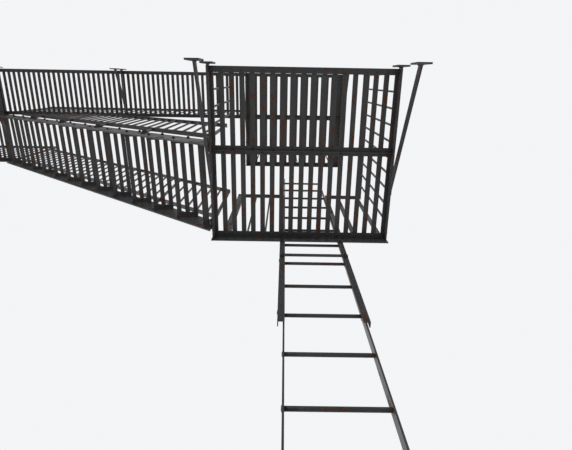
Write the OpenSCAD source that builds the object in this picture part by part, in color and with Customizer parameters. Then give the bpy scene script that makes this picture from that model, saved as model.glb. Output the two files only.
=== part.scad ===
// Wall-mounted fire escape: a lower landing with a drop ladder, one open flight and an upper balcony.
// X runs along the wall to the right as seen from the street, Y runs into the wall and Z is up.
// The wall is the plane Y = 0. The origin is on the wall plate of the lower left bracket.

/* [Storey] */
// Height from the lower floor to the upper floor
storey_h = 2639; // [2300:1:3000]
// Number of rises in the flight, the last one onto the upper landing
riser_count = 13; // [12:1:14]
// Horizontal going from one tread to the next
tread_going = 231; // [215:1:250]

/* [Floors] */
// Length of the lower landing and of the bay above it, over the frame
bay_len = 1187; // [1000:1:1400]
// Length of the upper landing at the head of the flight
landing_len = 900; // [700:1:1200]
// How far the frames reach out from the wall
deck_reach = 1120; // [1000:1:1250]
// Open joint between the wall and the frames
wall_gap = 20; // [14:1:30]
// Width of a floor slat
slat_w = 32; // [25:1:40]
// Thickness of a floor slat
slat_t = 8; // [6:1:10]
// Open gap between the slats of the lower floor
lower_slat_gap = 31.75; // [25:0.25:38]
// Open gap between the slats of the upper floors
upper_slat_gap = 26.6; // [20:0.2:38]
// Distance from one slat of the upper bay to the next
bay_slat_pitch = 61.5; // [58:0.5:70]
// How far the upper bay's slats lie to the right of the bay's middle
bay_slat_shift = 8; // [-10:1:10]

/* [Frame angles] */
// Leg of the frame angles
frame_leg = 38; // [30:1:50]
// Upright leg of the front angles
front_leg = 100; // [80:1:110]
// Flat leg of the angles across the upper floors
upper_cross_leg = 96; // [60:1:100]
// Thickness of the frame angles
frame_t = 6; // [5:1:8]
// Distance from the wall to the middle of the cross bars and to the walkway's outer edge
cross_reach = 547; // [520:1:570]
// Width of a cross bar's flange
cross_w = 56; // [40:2:70]

/* [Brackets] */
// Thickness of the bracket bars
arm_t = 12; // [10:1:16]
// Depth of the bracket bars
arm_h = 50; // [40:1:60]
// Depth of the sloping strut
strut_h = 44; // [36:1:55]
// How far out the strut meets the arm
strut_reach = 800; // [700:1:900]
// How far the middle of the lower wall plate lies below the arm's middle
strut_drop = 400; // [330:1:480]
// How far out the strut of the short walkway bracket meets its arm
short_strut_reach = 400; // [330:1:450]
// Width of a wall plate
plate_w = 76; // [60:1:100]
// Height of a wall plate
plate_h = 130; // [110:1:160]
// Thickness of a wall plate
plate_t = 10; // [8:1:16]
// Diameter of the holes for the wall bolts
bolt_hole_d = 14; // [10:1:18]
// Distance between the two bolt holes of a wall plate
bolt_spacing = 92; // [80:1:100]

/* [Flight] */
// Distance from the wall to the inner stringer at the foot of the flight
stair_inner_reach = 478; // [460:1:500]
// How far the head of the outer stringer stays inside the front of the upper landing
stair_margin = 4; // [2:1:10]
// Clearance between the head of the flight and the walkway's edge angle
stair_head_gap = 1; // [0.9:0.1:2]
// Thickness of a stringer plate
stringer_t = 10; // [8:1:12]
// Depth of a stringer plate, square to its edge
stringer_depth = 150; // [130:1:180]
// How far the stringer's lower edge hangs below the underside of the treads' middle
stringer_drop = 140; // [120:1:160]
// Width of one tread bar
tread_bar_w = 32; // [28:1:36]
// Open gap between the bars of one tread
tread_bar_gap = 28; // [20:1:32]
// Number of bars in a tread
tread_bars = 3; // [2:1:4]
// Distance from the lower landing to the near edge of the first tread
first_tread_gap = 152; // [140:1:180]
// Width of the bar that ties the feet of the stringers
foot_bar_w = 42; // [30:1:50]
// Distance from the lower landing to that bar
foot_bar_gap = 37; // [20:1:50]
// Leg of the angles that carry the treads
tread_clip_leg = 28; // [22:1:36]
// Thickness of the angles that carry the treads
tread_clip_t = 5; // [4:1:6]

/* [Railings] */
// Height of the railings above the slats
rail_h = 1015; // [900:5:1100]
// Height of the sloping railings above the stringers
stair_rail_h = 900; // [800:5:950]
// Width of the flat rails
rail_w = 32; // [25:1:40]
// Thickness of the flat rails
rail_t = 8; // [6:1:10]
// Side of a square picket
picket_s = 12; // [10:1:16]
// Side of a square post
post_s = 25; // [20:1:32]
// Width of the flat uprights in the lower front railing
flat_post_w = 32; // [25:1:40]
// Width of the flat post in that railing at the foot of the flight
corner_post_w = 50; // [40:1:60]
// Distance from the lower landing's right end to that post
corner_post_gap = 67; // [55:1:75]
// Distance from the lower landing's left end to the first flat upright
corner_flat_gap = 20; // [10:1:30]
// Distance from the first flat upright to the next
flat_post_pitch = 176; // [160:1:190]
// Largest distance from one picket to the next on the level railings
picket_pitch = 115; // [90:1:140]
// Distance from one picket to the next along the flight
stair_picket_pitch = 92; // [80:1:120]
// Height of the sloping bottom rail above the stringer
stair_low_rail = 130; // [60:1:200]
// Number of picket spaces from one post of the sloping railings to the next
stair_post_step = 6; // [4:1:10]

/* [Drop ladder] */
// Distance from the left end of the landing to the middle between the ladder's guides
ladder_x = 516; // [450:1:560]
// How far the ladder hangs to the left of that middle
ladder_shift = 6.5; // [0:0.5:7]
// Clear width between the ladder's rails
ladder_w = 368; // [330:1:400]
// Distance from one rung to the next
rung_pitch = 304.8; // [280:0.1:320]
// Number of rungs
rung_count = 14; // [12:1:15]
// Diameter of a rung
rung_d = 19; // [14:1:22]
// Height of the top rung above the slats while the ladder is raised
top_rung_h = 1755; // [1600:1:1850]
// Length of the rails beyond the first and the last rung
rail_end = 150; // [100:1:200]
// Thickness of a ladder rail
ladder_rail_t = 8; // [6:0.5:10]
// Depth of a ladder rail, away from the wall
ladder_rail_d = 40; // [32:1:50]
// Clearance between a ladder rail and the keepers that the ladder leans on
guide_seat_gap = 0.3; // [0.2:0.1:1]
// Running clearance between a ladder rail and the leg of its guide that lies along the wall
guide_gap = 12; // [6:0.5:16]
// Running clearance beside each ladder rail while the ladder hangs midway between its guides
guide_side_gap = 14; // [8:0.5:18]
// Thickness of the guide angles and their keepers
guide_t = 5; // [4:0.5:6]
// Leg of a guide angle along the wall
guide_w = 34; // [30:1:40]
// Leg of a guide angle away from the wall
guide_leg = 30; // [24:1:40]
// How far the guides hang below the slats
guide_drop = 1090; // [900:1:1200]
// Number of keepers on each guide
keeper_count = 4; // [3:1:6]
// Height of a keeper
keeper_h = 30; // [20:1:50]
// Distance from the ends of a guide to its first and last keeper
keeper_inset = 110; // [90:1:200]
// How far the tie between the guides lies below the slats
tie_drop = 350; // [250:1:450]
// Height of the tie between the guides
tie_h = 30; // [20:1:40]

/* [Hidden] */
eps = 0.5;
iron = "#26282b";
worn_iron = "#34363a";
ladder_iron = "#1f2124";

// Levels: the arm's middle is at zero, the angles lie on the arms and the slats on the angles
lower_z = arm_h / 2 + frame_t;
upper_z = lower_z + storey_h;
rise = storey_h / riser_count;

// Places along the wall
bay_x0 = -arm_t / 2 - frame_t;
bay_x1 = bay_x0 + bay_len;
tread_depth = tread_bars * tread_bar_w + (tread_bars - 1) * tread_bar_gap;
tread_x = bay_x1 + first_tread_gap + tread_depth / 2;
landing_x0 = tread_x + (riser_count - 1) * tread_going - tread_depth / 2;
landing_x1 = landing_x0 + landing_len;
walkway_arm_x = (bay_x1 + landing_x0) / 2;
arm_inset = frame_t + arm_t / 2;

// Places away from the wall
front_y = -deck_reach;
front_leg_y = front_y + frame_leg;
walkway_y = -cross_reach;

// Flight: it stands a little out of square, so its head fits between the walkway's edge and
// the front of the upper landing
stair_head_reach = cross_reach + stair_head_gap;
stair_w = deck_reach - stair_margin - stair_head_reach - 2 * stringer_t;
inner_y = -stair_inner_reach - stringer_t;
outer_y = inner_y - stair_w;
stair_turn = atan((stair_head_reach - stair_inner_reach) / (landing_x0 - bay_x1));
stringer_spare = 2 * stringer_t;

// Slope of the flight
slope = rise / tread_going;
stringer_v = stringer_depth * sqrt(1 + slope * slope);
function pitch_z(x) = lower_z + rise * ((x - tread_x) / tread_going + 1);
function pitch_x(z) = tread_x + ((z - lower_z) / rise - 1) * tread_going;
function low_edge(x) = pitch_z(x) - stringer_drop;
function top_edge(x) = low_edge(x) + stringer_v;

// Railings
picket_inset = (rail_w - picket_s) / 2;

// Drop ladder
rung_y = front_y - guide_t - guide_gap - ladder_rail_d / 2;
top_rung_z = lower_z + slat_t + top_rung_h;
guide_z0 = lower_z - guide_drop;
guide_z1 = lower_z + slat_t + rail_h;
keeper_pitch = (guide_z1 - guide_z0 - 2 * keeper_inset - keeper_h) / (keeper_count - 1);
guide_mid = bay_x0 + ladder_x;
ladder_mid = guide_mid - ladder_shift;
guide_out = ladder_w / 2 + ladder_rail_t + guide_side_gap + guide_t;

// A box between two corners
module span(a, b) {
    translate(a)
        cube(b - a);
}

// A flat outline in X and Z, given a thickness from y0 outwards
module plate_xz(points, y0, t) {
    translate([0, y0, 0])
        rotate([90, 0, 0])
            linear_extrude(t)
                polygon(points);
}

// A flat outline in Y and Z, with its middle plane at x
module plate_yz(points, x, t) {
    translate([x - t / 2, 0, 0])
        rotate([90, 0, 90])
            linear_extrude(t)
                polygon(points);
}

// Angle along the wall with its flat leg up and its upright leg down at the outer edge
module front_angle(x0, x1, y, z, leg) {
    span([x0, y, z - frame_t], [x1, y + frame_leg, z]);
    span([x0, y, z - leg], [x1, y + frame_t, z]);
}

// Angle square to the wall; side is -1 with the upright leg on its left, 1 on its right
module cross_angle(x, side, z, leg) {
    x_in = x - side * leg;
    x_leg = x - side * frame_t;
    span([min(x, x_in), front_leg_y, z - frame_t], [max(x, x_in), -wall_gap, z]);
    span([min(x, x_leg), front_y + frame_t, z - frame_leg], [max(x, x_leg), -wall_gap, z - frame_t]);
    span([min(x, x_leg), front_leg_y, z - frame_t], [max(x, x_leg), -wall_gap, z]);
}

// Angle along the wall with its upright leg up, its flat leg cut where cross angles pass
module wall_angle(x0, x1, z, cuts) {
    difference() {
        union() {
            span([x0, -wall_gap - frame_leg, z - frame_t], [x1, -wall_gap, z]);
            span([x0, -wall_gap - frame_t, z - frame_t], [x1, -wall_gap, z + frame_leg]);
        }
        for (c = cuts)
            span([c[0], -wall_gap - frame_leg - eps, z - frame_t - eps], [c[1], -wall_gap + eps, z]);
    }
}

// Tee bar under the slats: its flange between the angles' flat legs and its web between the arms
module cross_tee(x0, x1, z, leg) {
    y = walkway_y + frame_leg / 2;
    span([x0 + leg, y - cross_w / 2, z - frame_t], [x1 - leg, y + cross_w / 2, z]);
    span([x0 + frame_t + arm_t, y - frame_t / 2, z - frame_leg],
        [x1 - frame_t - arm_t, y + frame_t / 2, z - frame_t]);
}

// Row of slats square to the wall, the first one from x_first
module slat_row(x_first, count, pitch, y1, z) {
    for (i = [0 : count - 1])
        translate([x_first + i * pitch, 0, 0])
            span([0, y1, z], [slat_w, -wall_gap - frame_t, z + slat_t]);
}

// Slats square to the wall, spread evenly between x0 and x1
module slats(x0, x1, y1, z, gap) {
    count = round((x1 - x0 - gap) / (slat_w + gap));
    open = (x1 - x0 - count * slat_w) / (count + 1);
    slat_row(x0 + open, count, slat_w + open, y1, z);
}

// Wall plate with two bolt holes
module wall_plate(x, z) {
    difference() {
        span([x - plate_w / 2, -plate_t, z - plate_h / 2], [x + plate_w / 2, 0, z + plate_h / 2]);
        for (side = [-1, 1])
            translate([x, eps, z + side * bolt_spacing / 2])
                rotate([90, 0, 0])
                    cylinder(h = plate_t + 2 * eps, d = bolt_hole_d, $fn = 32);
    }
}

// Bracket with a level arm, a sloping strut and two wall plates; z is the level of the arm's middle
module bracket(x, z, reach, strut_out) {
    incline = strut_drop / strut_reach;
    drop = incline * strut_out;
    half_fall = strut_h / 2 * sqrt(1 + incline * incline);
    low = z - arm_h / 2;
    foot = z - drop + incline * plate_t;
    plate_yz([[-plate_t, z + arm_h / 2], [-reach, z + arm_h / 2], [-reach, low], [-plate_t, low]], x, arm_t);
    plate_yz([
        [-plate_t, foot - half_fall],
        [-plate_t, foot + half_fall],
        [-(drop - arm_h / 2 - half_fall) / incline, low],
        [-(drop - arm_h / 2 + half_fall) / incline, low]
    ], x, arm_t);
    wall_plate(x, z);
    wall_plate(x, z - drop);
}

// Top and bottom rail of a level railing along the wall, with their outer edges at y0
module rails_x(x0, x1, y0, z) {
    for (level = [z + slat_t, z + slat_t + rail_h - rail_t])
        span([x0, y0, level], [x1, y0 + rail_w, level + rail_t]);
}

// Upright between those rails, of width w from x, its outer face at y and its depth d
module upright_x(x, w, y, d, z) {
    span([x, y, z + slat_t + rail_t], [x + w, y + d, z + slat_t + rail_h - rail_t]);
}

// Level railing along the wall between two end posts, with its outer face at y0
module railing_x(x0, x1, y0, z) {
    count = ceil((x1 - x0 - post_s) / picket_pitch);
    step = (x1 - x0 - post_s) / count;
    x_picket = x0 + (post_s - picket_s) / 2;
    rails_x(x0, x1, y0, z);
    for (x = [x0, x1 - post_s])
        upright_x(x, post_s, y0, post_s, z);
    for (i = [1 : count - 1])
        upright_x(x_picket + i * step, picket_s, y0 + picket_inset, picket_s, z);
}

// Level railing square to the wall, with a post at its wall end y1; its left side is at x0
module railing_y(x0, y0, y1, z) {
    x1 = x0 + rail_w;
    low = z + rail_t;
    top = z + slat_t + rail_h;
    n = ceil((y1 - y0 - post_s) / picket_pitch);
    step = (y1 - y0 - post_s) / n;
    span([x0, y0, low - rail_t], [x1, y1, low]);
    span([x0, y0, top - rail_t], [x1, y1, top]);
    span([x0, y1 - post_s, low], [x0 + post_s, y1, top - rail_t]);
    for (i = [1 : n - 1])
        translate([x0 + rail_w / 2, y0 + i * step, (low + top - rail_t) / 2])
            cube([picket_s, picket_s, top - rail_t - low], center = true);
}

module lower_front_angle() {
    color(iron)
        front_angle(bay_x0, bay_x1, front_y, lower_z, front_leg);
}

module lower_wall_angle() {
    color(iron)
        wall_angle(bay_x0, bay_x1, lower_z, [
            [bay_x0 - eps, bay_x0 + frame_leg],
            [bay_x1 - frame_leg, bay_x1 + eps]
        ]);
}

module lower_end_angle_left() {
    color(iron)
        cross_angle(bay_x0, -1, lower_z, frame_leg);
}

module lower_end_angle_right() {
    color(iron)
        cross_angle(bay_x1, 1, lower_z, frame_leg);
}

module lower_cross_bar() {
    color(iron)
        cross_tee(bay_x0, bay_x1, lower_z, frame_leg);
}

module lower_slats() {
    color(worn_iron)
        slats(bay_x0 + frame_leg, bay_x1 - frame_leg, front_y, lower_z, lower_slat_gap);
}

module lower_bracket_left() {
    color(iron)
        bracket(bay_x0 + arm_inset, 0, deck_reach - frame_t, strut_reach);
}

module lower_bracket_right() {
    color(iron)
        bracket(bay_x1 - arm_inset, 0, deck_reach - frame_t, strut_reach);
}

module lower_front_railing_left() {
    x_post = guide_mid - guide_out;
    x_flat = bay_x0 + corner_flat_gap;
    color(iron) {
        rails_x(bay_x0, x_post + post_s, front_y, lower_z);
        upright_x(x_post, post_s, front_y, post_s, lower_z);
        for (i = [0, 1])
            upright_x(x_flat + i * flat_post_pitch, flat_post_w, front_y, picket_s, lower_z);
    }
}

module lower_front_railing_right() {
    x_post = guide_mid + guide_out - post_s;
    x_corner = bay_x1 - corner_post_gap - corner_post_w;
    count = ceil((x_corner - x_post) / (picket_pitch + picket_s));
    step = (x_corner - x_post) / count;
    color(iron) {
        rails_x(x_post, x_corner + corner_post_w, front_y, lower_z);
        upright_x(x_post, post_s, front_y, post_s, lower_z);
        upright_x(x_corner, corner_post_w, front_y, post_s, lower_z);
        for (i = [1 : count - 1])
            upright_x(x_post + i * step, picket_s, front_y + picket_inset, picket_s, lower_z);
    }
}

module lower_end_railing() {
    color(iron)
        railing_y(bay_x0, front_y + rail_w, -wall_gap - frame_t, lower_z);
}

module lower_stair_side_railing() {
    color(iron)
        railing_y(bay_x1 - frame_leg, -stair_inner_reach, -wall_gap - frame_t, lower_z);
}

// Guide angle behind and beside one rail of the ladder; side is -1 for the left one
module guide(side) {
    x_heel = guide_mid + side * guide_out;
    x_in = x_heel - side * guide_t;
    x_toe = x_heel - side * guide_w;
    span([min(x_heel, x_in), front_y - guide_leg, guide_z0], [max(x_heel, x_in), front_y, guide_z1]);
    span([min(x_heel, x_toe), front_y - guide_t, guide_z0], [max(x_heel, x_toe), front_y, guide_z1]);
}

// Keeper that reaches from the edge of a guide across the street side of a rail
module keeper(side, z) {
    x_heel = guide_mid + side * guide_out;
    x_in = x_heel - side * guide_t;
    x_end = ladder_mid + side * ladder_w / 2;
    y_in = rung_y - ladder_rail_d / 2 - guide_seat_gap;
    y_out = y_in - guide_t;
    span([min(x_heel, x_in), y_out, z], [max(x_heel, x_in), front_y - guide_leg, z + keeper_h]);
    span([min(x_heel, x_end), y_out, z], [max(x_heel, x_end), y_in, z + keeper_h]);
}

module ladder_guides() {
    color(iron)
        for (side = [-1, 1])
            guide(side);
}

module guide_keepers() {
    color(iron)
        for (side = [-1, 1], i = [0 : keeper_count - 1])
            keeper(side, guide_z0 + keeper_inset + i * keeper_pitch);
}

module guide_tie() {
    tie_z = lower_z - tie_drop;
    color(iron)
        span([guide_mid - guide_out, front_y, tie_z],
            [guide_mid + guide_out, front_y + rail_t, tie_z + tie_h]);
}

module ladder_rail(side) {
    x_in = ladder_mid + side * ladder_w / 2;
    x_out = x_in + side * ladder_rail_t;
    z0 = top_rung_z - (rung_count - 1) * rung_pitch - rail_end;
    span([min(x_in, x_out), rung_y - ladder_rail_d / 2, z0],
        [max(x_in, x_out), rung_y + ladder_rail_d / 2, top_rung_z + rail_end]);
}

module ladder_rails() {
    color(ladder_iron)
        for (side = [-1, 1])
            ladder_rail(side);
}

module ladder_rungs() {
    color(ladder_iron)
        for (i = [0 : rung_count - 1])
            translate([ladder_mid, rung_y, top_rung_z - i * rung_pitch])
                rotate([0, 90, 0])
                    cylinder(h = ladder_w, d = rung_d, center = true, $fn = 24);
}

// Turns the flight's pieces about the wall side of the inner stringer's foot
module turned() {
    translate([bay_x1, -stair_inner_reach, 0])
        rotate([0, 0, -stair_turn])
            translate([-bay_x1, stair_inner_reach, 0])
                children();
}

// Keeps what lies between the lower landing and the upper one
module between_landings() {
    intersection() {
        children();
        span([bay_x1, front_y - rail_w, 0 - storey_h], [landing_x0, 0, 2 * storey_h]);
    }
}

// Stringer plate, cut plumb against the lower landing's end angle and the upper landing's edge angle
module stringer(y0) {
    x0 = bay_x1 - stringer_spare;
    x1 = landing_x0 + stringer_spare;
    between_landings()
        turned()
            plate_xz([
                [x0, low_edge(x0)],
                [x1, low_edge(x1)],
                [x1, top_edge(x1)],
                [x0, top_edge(x0)]
            ], y0, stringer_t);
}

module stair_inner_stringer() {
    color(iron)
        stringer(-stair_inner_reach);
}

module stair_outer_stringer() {
    color(iron)
        stringer(outer_y);
}

// One tread of flat bars on two short angles, centred at x with its underside at z
module tread(x, z) {
    for (i = [0 : tread_bars - 1])
        translate([x - tread_depth / 2 + i * (tread_bar_w + tread_bar_gap), outer_y, z])
            cube([tread_bar_w, stair_w, slat_t]);
    for (y = [outer_y, inner_y - tread_clip_leg])
        translate([x - tread_depth / 2, y, z - tread_clip_t])
            cube([tread_depth, tread_clip_leg, tread_clip_t]);
    for (y = [outer_y, inner_y - tread_clip_t])
        translate([x - tread_depth / 2, y, z - tread_clip_leg])
            cube([tread_depth, tread_clip_t, tread_clip_leg]);
}

module stair_treads() {
    color(worn_iron)
        turned() {
            for (k = [1 : riser_count - 1])
                tread(tread_x + (k - 1) * tread_going, lower_z + k * rise);
            translate([bay_x1 + foot_bar_gap, outer_y, lower_z])
                cube([foot_bar_w, stair_w, slat_t]);
        }
}

// Sloping railing of the flight, its pickets and posts between y0 and y0 + picket_s. The posts reach down
// over the face of a stringer. The top rail levels off at z_max and ends where the bottom rail meets it,
// or at the upper landing.
module stair_railing(y0, z_max) {
    rail_v = rail_t * sqrt(1 + slope * slope);
    x_first = bay_x1 + picket_s;
    x_level = pitch_x(z_max - rail_v - stair_low_rail - stringer_v + stringer_drop);
    x_end = min(landing_x0 + stringer_spare, x_level);
    x_bend = min(x_end, pitch_x(z_max - stair_rail_h - stringer_v + stringer_drop));
    count = floor((x_end - post_s - x_first) / stair_picket_pitch);
    y_rail = y0 + picket_s / 2 + rail_w / 2;
    function rail_top(x) = min(top_edge(x) + stair_rail_h, z_max);
    function low_rail_top(x) = top_edge(x) + stair_low_rail + rail_v;
    plate_xz([
        [x_first, low_rail_top(x_first)],
        [x_end, low_rail_top(x_end)],
        [x_end, low_rail_top(x_end) - rail_v],
        [x_first, low_rail_top(x_first) - rail_v]
    ], y_rail, rail_w);
    for (part = [[x_first, x_bend], [x_bend, x_end]])
        if (part[1] > part[0])
            plate_xz([
                [part[0], rail_top(part[0])],
                [part[1], rail_top(part[1])],
                [part[1], rail_top(part[1]) - rail_v],
                [part[0], rail_top(part[0]) - rail_v]
            ], y_rail, rail_w);
    for (i = [0 : count]) {
        x = x_first + i * stair_picket_pitch;
        post = i % stair_post_step == 0;
        foot = post ? max(lower_z, top_edge(x) - stringer_v / 2) : low_rail_top(x) - eps;
        span([x, y0, foot], [x + (post ? post_s : picket_s), y0 + picket_s, rail_top(x) - eps]);
    }
}

module stair_inner_railing() {
    color(iron)
        turned()
            stair_railing(-stair_inner_reach, upper_z - frame_leg - stair_head_gap);
}

module stair_outer_railing() {
    color(iron)
        between_landings()
            turned()
                stair_railing(outer_y - stringer_t - picket_s, upper_z + slat_t + rail_h);
}

module upper_wall_angle() {
    color(iron)
        wall_angle(bay_x0, landing_x1, upper_z, [
            [bay_x0 - eps, bay_x0 + upper_cross_leg],
            [bay_x1 - upper_cross_leg, bay_x1],
            [landing_x0, landing_x0 + upper_cross_leg],
            [landing_x1 - upper_cross_leg, landing_x1 + eps]
        ]);
}

module bay_front_angle() {
    color(iron)
        front_angle(bay_x0, bay_x1, front_y, upper_z, front_leg);
}

module landing_front_angle() {
    color(iron)
        front_angle(landing_x0, landing_x1, front_y, upper_z, front_leg);
}

module walkway_edge_angle() {
    color(iron)
        front_angle(bay_x1, landing_x0, walkway_y, upper_z, frame_leg);
}

module upper_end_angle_left() {
    color(iron)
        cross_angle(bay_x0, -1, upper_z, upper_cross_leg);
}

module bay_edge_angle() {
    color(iron)
        cross_angle(bay_x1, 1, upper_z, upper_cross_leg);
}

module landing_edge_angle() {
    color(iron)
        cross_angle(landing_x0, -1, upper_z, upper_cross_leg);
}

module upper_end_angle_right() {
    color(iron)
        cross_angle(landing_x1, 1, upper_z, upper_cross_leg);
}

module bay_cross_bar() {
    color(iron)
        cross_tee(bay_x0, bay_x1, upper_z, upper_cross_leg);
}

module landing_cross_bar() {
    color(iron)
        cross_tee(landing_x0, landing_x1, upper_z, upper_cross_leg);
}

module bay_slats() {
    count = floor((bay_len - 2 * upper_cross_leg - slat_w) / bay_slat_pitch) + 1;
    x_first = (bay_x0 + bay_x1 - (count - 1) * bay_slat_pitch - slat_w) / 2 + bay_slat_shift;
    color(worn_iron)
        slat_row(x_first, count, bay_slat_pitch, front_y, upper_z);
}

module walkway_slats() {
    color(worn_iron)
        slats(bay_x1, landing_x0, walkway_y, upper_z, upper_slat_gap);
}

module landing_slats() {
    color(worn_iron)
        slats(landing_x0 + upper_cross_leg, landing_x1 - upper_cross_leg, front_y, upper_z, upper_slat_gap);
}

module upper_bracket_left() {
    color(iron)
        bracket(bay_x0 + arm_inset, storey_h, deck_reach - frame_t, strut_reach);
}

module bay_edge_bracket() {
    color(iron)
        bracket(bay_x1 - arm_inset, storey_h, deck_reach - frame_t, strut_reach);
}

module walkway_bracket() {
    color(iron)
        bracket(walkway_arm_x, storey_h, cross_reach - frame_t, short_strut_reach);
}

module landing_edge_bracket() {
    color(iron)
        bracket(landing_x0 + arm_inset, storey_h, deck_reach - frame_t, strut_reach);
}

module upper_bracket_right() {
    color(iron)
        bracket(landing_x1 - arm_inset, storey_h, deck_reach - frame_t, strut_reach);
}

module bay_front_railing() {
    color(iron)
        railing_x(bay_x0, bay_x1, front_y, upper_z);
}

module landing_front_railing() {
    color(iron)
        railing_x(landing_x0, landing_x1, front_y, upper_z);
}

module upper_end_railing_left() {
    color(iron)
        railing_y(bay_x0, front_y + rail_w, -wall_gap - frame_t, upper_z);
}

module upper_end_railing_right() {
    color(iron)
        railing_y(landing_x1 - rail_w, front_y + rail_w, -wall_gap - frame_t, upper_z);
}

module walkway_railing() {
    color(iron)
        railing_x(bay_x1, landing_x0, walkway_y, upper_z);
}

module bay_edge_railing() {
    color(iron)
        railing_y(bay_x1 - frame_leg, front_y + rail_w, walkway_y, upper_z);
}

lower_front_angle();
lower_wall_angle();
lower_end_angle_left();
lower_end_angle_right();
lower_cross_bar();
lower_slats();
lower_bracket_left();
lower_bracket_right();
lower_front_railing_left();
lower_front_railing_right();
lower_end_railing();
lower_stair_side_railing();
ladder_guides();
guide_keepers();
guide_tie();
ladder_rails();
ladder_rungs();
stair_inner_stringer();
stair_outer_stringer();
stair_treads();
stair_inner_railing();
stair_outer_railing();
upper_wall_angle();
bay_front_angle();
landing_front_angle();
walkway_edge_angle();
upper_end_angle_left();
bay_edge_angle();
landing_edge_angle();
upper_end_angle_right();
bay_cross_bar();
landing_cross_bar();
bay_slats();
walkway_slats();
landing_slats();
upper_bracket_left();
bay_edge_bracket();
walkway_bracket();
landing_edge_bracket();
upper_bracket_right();
bay_front_railing();
landing_front_railing();
upper_end_railing_left();
upper_end_railing_right();
walkway_railing();
bay_edge_railing();
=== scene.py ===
from math import atan2, ceil, cos, radians, sin, sqrt, tan

import bpy
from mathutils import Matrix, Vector


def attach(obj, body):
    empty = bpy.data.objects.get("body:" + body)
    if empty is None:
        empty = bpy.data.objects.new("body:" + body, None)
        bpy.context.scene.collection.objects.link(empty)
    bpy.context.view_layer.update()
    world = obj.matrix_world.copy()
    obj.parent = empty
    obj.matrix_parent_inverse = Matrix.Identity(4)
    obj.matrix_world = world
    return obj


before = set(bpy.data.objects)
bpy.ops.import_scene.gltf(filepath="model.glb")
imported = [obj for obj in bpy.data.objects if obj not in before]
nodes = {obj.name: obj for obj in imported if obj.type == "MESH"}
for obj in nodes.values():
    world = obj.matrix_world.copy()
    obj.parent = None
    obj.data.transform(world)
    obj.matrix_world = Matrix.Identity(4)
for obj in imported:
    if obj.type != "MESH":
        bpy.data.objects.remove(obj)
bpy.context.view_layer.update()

scene = bpy.context.scene

# The view: someone stands on the pavement under the stair, close to the wall, and looks almost straight up
# past the drop ladder at the undersides of the floors.
eye_height = 1.6
eye_level = -2.734
pavement = eye_level - eye_height
eye_data = bpy.data.cameras.new("eye")
eye_data.lens = 26.859
eye_data.sensor_width = 36.0
eye_data.sensor_fit = "HORIZONTAL"
eye_data.clip_start = 0.05
eye_data.clip_end = 100.0
eye = bpy.data.objects.new("eye", eye_data)
eye.location = (0.694, -0.100, eye_level)
eye.rotation_euler = (radians(161.3157), radians(0.0596), radians(179.0351))
scene.collection.objects.link(eye)
scene.camera = eye
scene.view_settings.view_transform = "Standard"


# The pavement and the light: a plain pale floor where the pavement is, an even pale sky, and two soft lamps
# high up on the street side.
def put(tree, kind, inputs=None, **settings):
    """Makes a node, with its settings, and gives each of its inputs a value or a link."""
    node = tree.nodes.new(kind)
    for key, value in settings.items():
        setattr(node, key, value)
    for key, value in (inputs or {}).items():
        if isinstance(value, bpy.types.NodeSocket):
            tree.links.new(value, node.inputs[key])
        else:
            node.inputs[key].default_value = value
    return node


floor_reach = 16.0
pale_stone = (0.80, 0.81, 0.82, 1.0)
floor_mesh = bpy.data.meshes.new("pavement")
floor_mesh.from_pydata(
    [(x, y, pavement) for x, y in ((-floor_reach, -floor_reach), (floor_reach, -floor_reach),
                                   (floor_reach, floor_reach), (-floor_reach, floor_reach))],
    [], [(0, 1, 2, 3)])
floor = bpy.data.objects.new("pavement", floor_mesh)
scene.collection.objects.link(floor)
floor_look = bpy.data.materials.new("pale_floor")
floor_look.use_nodes = True
floor_shader = floor_look.node_tree.nodes["Principled BSDF"]
floor_shader.inputs["Base Color"].default_value = pale_stone
floor_shader.inputs["Roughness"].default_value = 0.9
floor_mesh.materials.append(floor_look)

sky = bpy.data.worlds.new("pale_sky")
sky.use_nodes = True
scene.world = sky
air = sky.node_tree
air.nodes.clear()
rays = put(air, "ShaderNodeLightPath")
seen = put(air, "ShaderNodeMath", {0: rays.outputs["Is Camera Ray"], 1: rays.outputs["Is Glossy Ray"]},
           operation="MAXIMUM")
seen = put(air, "ShaderNodeMath", {0: seen.outputs[0], 1: rays.outputs["Is Transmission Ray"]},
           operation="MAXIMUM")
lighting = put(air, "ShaderNodeBackground", {"Color": (1.0, 1.0, 1.0, 1.0), "Strength": 0.62})
backdrop = put(air, "ShaderNodeBackground", {"Color": (0.90, 0.91, 0.93, 1.0), "Strength": 1.0})
both = put(air, "ShaderNodeMixShader", {0: seen.outputs[0], 1: lighting.outputs[0], 2: backdrop.outputs[0]})
put(air, "ShaderNodeOutputWorld", {"Surface": both.outputs[0]})

lamp_aim = Vector((2.2, -0.6, 1.0))
for name, place, size, power in (("street_lamp", (-3.5, -8.5, 6.5), 5.0, 420.0),
                                 ("wall_lamp", (7.5, -5.0, 5.0), 4.0, 210.0)):
    lamp_data = bpy.data.lights.new(name, "AREA")
    lamp_data.size = size
    lamp_data.energy = power
    lamp = bpy.data.objects.new(name, lamp_data)
    lamp.location = place
    lamp.rotation_euler = (lamp_aim - Vector(place)).to_track_quat("-Z", "Y").to_euler()
    scene.collection.objects.link(lamp)


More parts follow.
